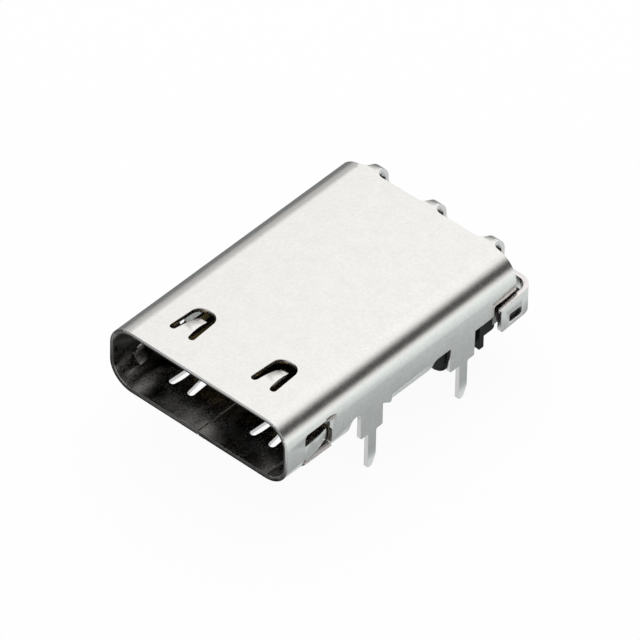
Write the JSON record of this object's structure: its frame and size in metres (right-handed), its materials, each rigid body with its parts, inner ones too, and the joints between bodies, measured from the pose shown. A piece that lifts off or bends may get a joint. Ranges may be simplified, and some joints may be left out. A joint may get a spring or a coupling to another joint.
{
  "type": "usb-c socket",
  "caption": "Board-mounted USB-C socket: a folded sheet shell with solder legs round a moulded tongue that carries rows of contacts.",
  "frame": {"origin": "middle of the pattern of solder legs, on the board's surface", "axes": "-Y out of the mouth, +Z away from the board, +X to the right as the mouth is faced"},
  "size_m": [0.0092, 0.0132, 0.0049],
  "materials": {
    "plated_sheet": "nickel-plated steel sheet, satin bright",
    "black_moulding": "black glass-filled moulding, fine matt",
    "plate_steel": "bare stainless sheet",
    "pad_steel": "bright stainless sheet",
    "gold_plate": "gold-plated copper alloy"
  },
  "bodies": {
    "root": {"shell": "plated_sheet", "insulator_body": "black_moulding", "upper_contact_block": "black_moulding", "lower_contact_block": "black_moulding", "mid_plate": "plate_steel", "upper_ground_pad": "pad_steel", "lower_ground_pad": "pad_steel", "contact_a1": "gold_plate", "contact_a2": "gold_plate", "contact_a3": "gold_plate", "contact_a4": "gold_plate", "contact_a5": "gold_plate", "contact_a6": "gold_plate", "contact_a7": "gold_plate", "contact_a8": "gold_plate", "contact_a9": "gold_plate", "contact_a10": "gold_plate", "contact_a11": "gold_plate", "contact_a12": "gold_plate", "contact_b1": "gold_plate", "contact_b2": "gold_plate", "contact_b3": "gold_plate", "contact_b4": "gold_plate", "contact_b5": "gold_plate", "contact_b6": "gold_plate", "contact_b7": "gold_plate", "contact_b8": "gold_plate", "contact_b9": "gold_plate", "contact_b10": "gold_plate", "contact_b11": "gold_plate", "contact_b12": "gold_plate"}
  },
  "joints": []
}
